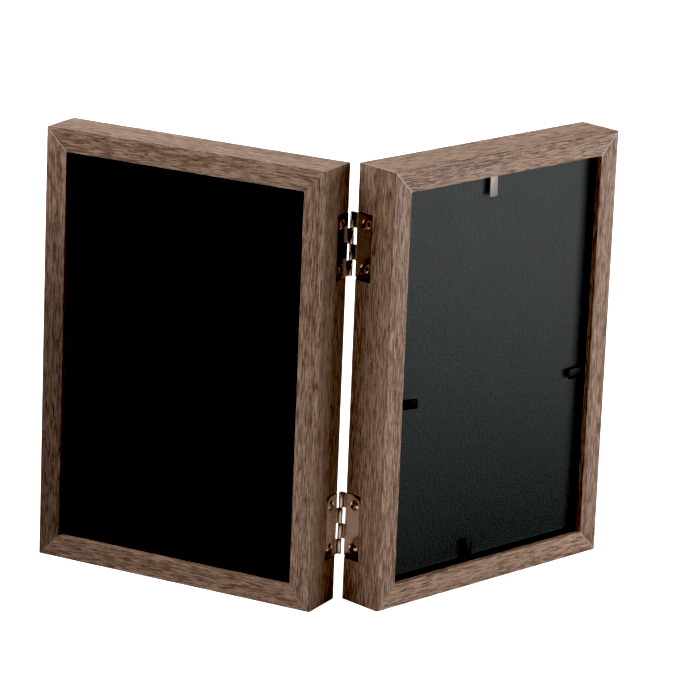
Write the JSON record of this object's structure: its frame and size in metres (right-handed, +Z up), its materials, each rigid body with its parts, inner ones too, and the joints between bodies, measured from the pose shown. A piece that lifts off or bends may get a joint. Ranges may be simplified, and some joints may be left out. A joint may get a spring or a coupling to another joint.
{
  "type": "hinged double display frame",
  "caption": "Two upright picture frames joined by butt hinges at their inner sides, standing in a V like an open book, with backing boards held by bendable tabs.",
  "frame": {"origin": "on the surface the frame stands on, in the middle of its footprint", "axes": "+Z up along the hinge pins; +Y towards the side that the display faces open to, -Y towards the backs and the hinge edge; +X towards the right leaf seen from the back"},
  "size_m": [0.223, 0.0872, 0.1724],
  "materials": {
    "walnut_wrap": "satin walnut-grain wrap on MDF",
    "black_steel": "black oxide spring steel",
    "bright_steel": "spring steel, rubbed bright",
    "plain_steel": "plain steel",
    "clear_glass": "clear float glass",
    "insert_card": "plain matt card",
    "black_board": "black pebbled paper on board",
    "hinge_metal": "polished antique nickel plating",
    "screw_metal": "polished antique nickel plating"
  },
  "bodies": {
    "left_leaf": {"left_backing_board": "black_board", "left_card": "insert_card", "left_glass_pane": "clear_glass", "left_lower_hinge_plate": "hinge_metal", "left_lower_hinge_screw_lower": "screw_metal", "left_lower_hinge_screw_upper": "screw_metal", "left_stick_bottom": "walnut_wrap", "left_stick_hinge_side": "walnut_wrap", "left_stick_outer_side": "walnut_wrap", "left_stick_top": "walnut_wrap", "left_tab_shank_bottom": "black_steel", "left_tab_shank_hinge_side": "black_steel", "left_tab_shank_outer_side": "black_steel", "left_tab_shank_top": "black_steel", "left_upper_hinge_plate": "hinge_metal", "left_upper_hinge_screw_lower": "screw_metal", "left_upper_hinge_screw_upper": "screw_metal", "left_v_nail_hinge_bottom": "plain_steel", "left_v_nail_hinge_top": "plain_steel", "left_v_nail_outer_bottom": "plain_steel", "left_v_nail_outer_top": "plain_steel", "lower_hinge_pin": "hinge_metal", "upper_hinge_pin": "hinge_metal"},
    "right_leaf": {"right_backing_board": "black_board", "right_card": "insert_card", "right_glass_pane": "clear_glass", "right_lower_hinge_plate": "hinge_metal", "right_lower_hinge_screw_lower": "screw_metal", "right_lower_hinge_screw_upper": "screw_metal", "right_stick_bottom": "walnut_wrap", "right_stick_hinge_side": "walnut_wrap", "right_stick_outer_side": "walnut_wrap", "right_stick_top": "walnut_wrap", "right_tab_shank_bottom": "black_steel", "right_tab_shank_hinge_side": "black_steel", "right_tab_shank_outer_side": "black_steel", "right_tab_shank_top": "black_steel", "right_upper_hinge_plate": "hinge_metal", "right_upper_hinge_screw_lower": "screw_metal", "right_upper_hinge_screw_upper": "screw_metal", "right_v_nail_hinge_bottom": "plain_steel", "right_v_nail_hinge_top": "plain_steel", "right_v_nail_outer_bottom": "plain_steel", "right_v_nail_outer_top": "plain_steel"},
    "left_hinge_side_tab": {"left_tab_hinge_side": "black_steel"},
    "left_outer_side_tab": {"left_tab_outer_side": "black_steel"},
    "left_top_tab": {"left_tab_top": "black_steel"},
    "left_bottom_tab": {"left_tab_bottom": "black_steel"},
    "right_hinge_side_tab": {"right_tab_hinge_side": "black_steel"},
    "right_outer_side_tab": {"right_tab_outer_side": "black_steel"},
    "right_top_tab": {"right_tab_top": "bright_steel"},
    "right_bottom_tab": {"right_tab_bottom": "black_steel"}
  },
  "joints": [
    {"name": "leaf_fold", "type": "hinge", "parent": "left_leaf", "child": "right_leaf", "pos_m": [0, -0.02637, 0.0862], "axis": [0, 0, 1], "range_deg": [-72, 108]},
    {"name": "left_hinge_side_tab_bend", "type": "hinge", "parent": "left_leaf", "child": "left_hinge_side_tab", "pos_m": [-0.01872, -0.03555, 0.0837], "axis": [0, 0, 1], "range_deg": [-9.5, 74]},
    {"name": "left_outer_side_tab_bend", "type": "hinge", "parent": "left_leaf", "child": "left_outer_side_tab", "pos_m": [-0.10205, 0.02499, 0.0837], "axis": [0, 0, -1], "range_deg": [-10.5, 73]},
    {"name": "left_top_tab_bend", "type": "hinge", "parent": "left_leaf", "child": "left_top_tab", "pos_m": [-0.06038, -0.00528, 0.1631], "axis": [-0.809, 0.5878, 0], "range_deg": [-8.5, 75]},
    {"name": "left_bottom_tab_bend", "type": "hinge", "parent": "left_leaf", "child": "left_bottom_tab", "pos_m": [-0.06524, -0.00175, 0.0093], "axis": [0.809, -0.5878, 0], "range_deg": [-10.5, 73]},
    {"name": "right_hinge_side_tab_bend", "type": "hinge", "parent": "right_leaf", "child": "right_hinge_side_tab", "pos_m": [0.01872, -0.03555, 0.0799], "axis": [0, 0, -1], "range_deg": [-29.5, 54]},
    {"name": "right_outer_side_tab_bend", "type": "hinge", "parent": "right_leaf", "child": "right_outer_side_tab", "pos_m": [0.10205, 0.02499, 0.0755], "axis": [0, 0, 1], "range_deg": [-9.5, 74]},
    {"name": "right_top_tab_bend", "type": "hinge", "parent": "right_leaf", "child": "right_top_tab", "pos_m": [0.05634, -0.00822, 0.1631], "axis": [-0.809, -0.5878, 0], "range_deg": [-10.5, 73]},
    {"name": "right_bottom_tab_bend", "type": "hinge", "parent": "right_leaf", "child": "right_bottom_tab", "pos_m": [0.05278, -0.0108, 0.0093], "axis": [0.809, 0.5878, 0], "range_deg": [-11.5, 72]}
  ]
}
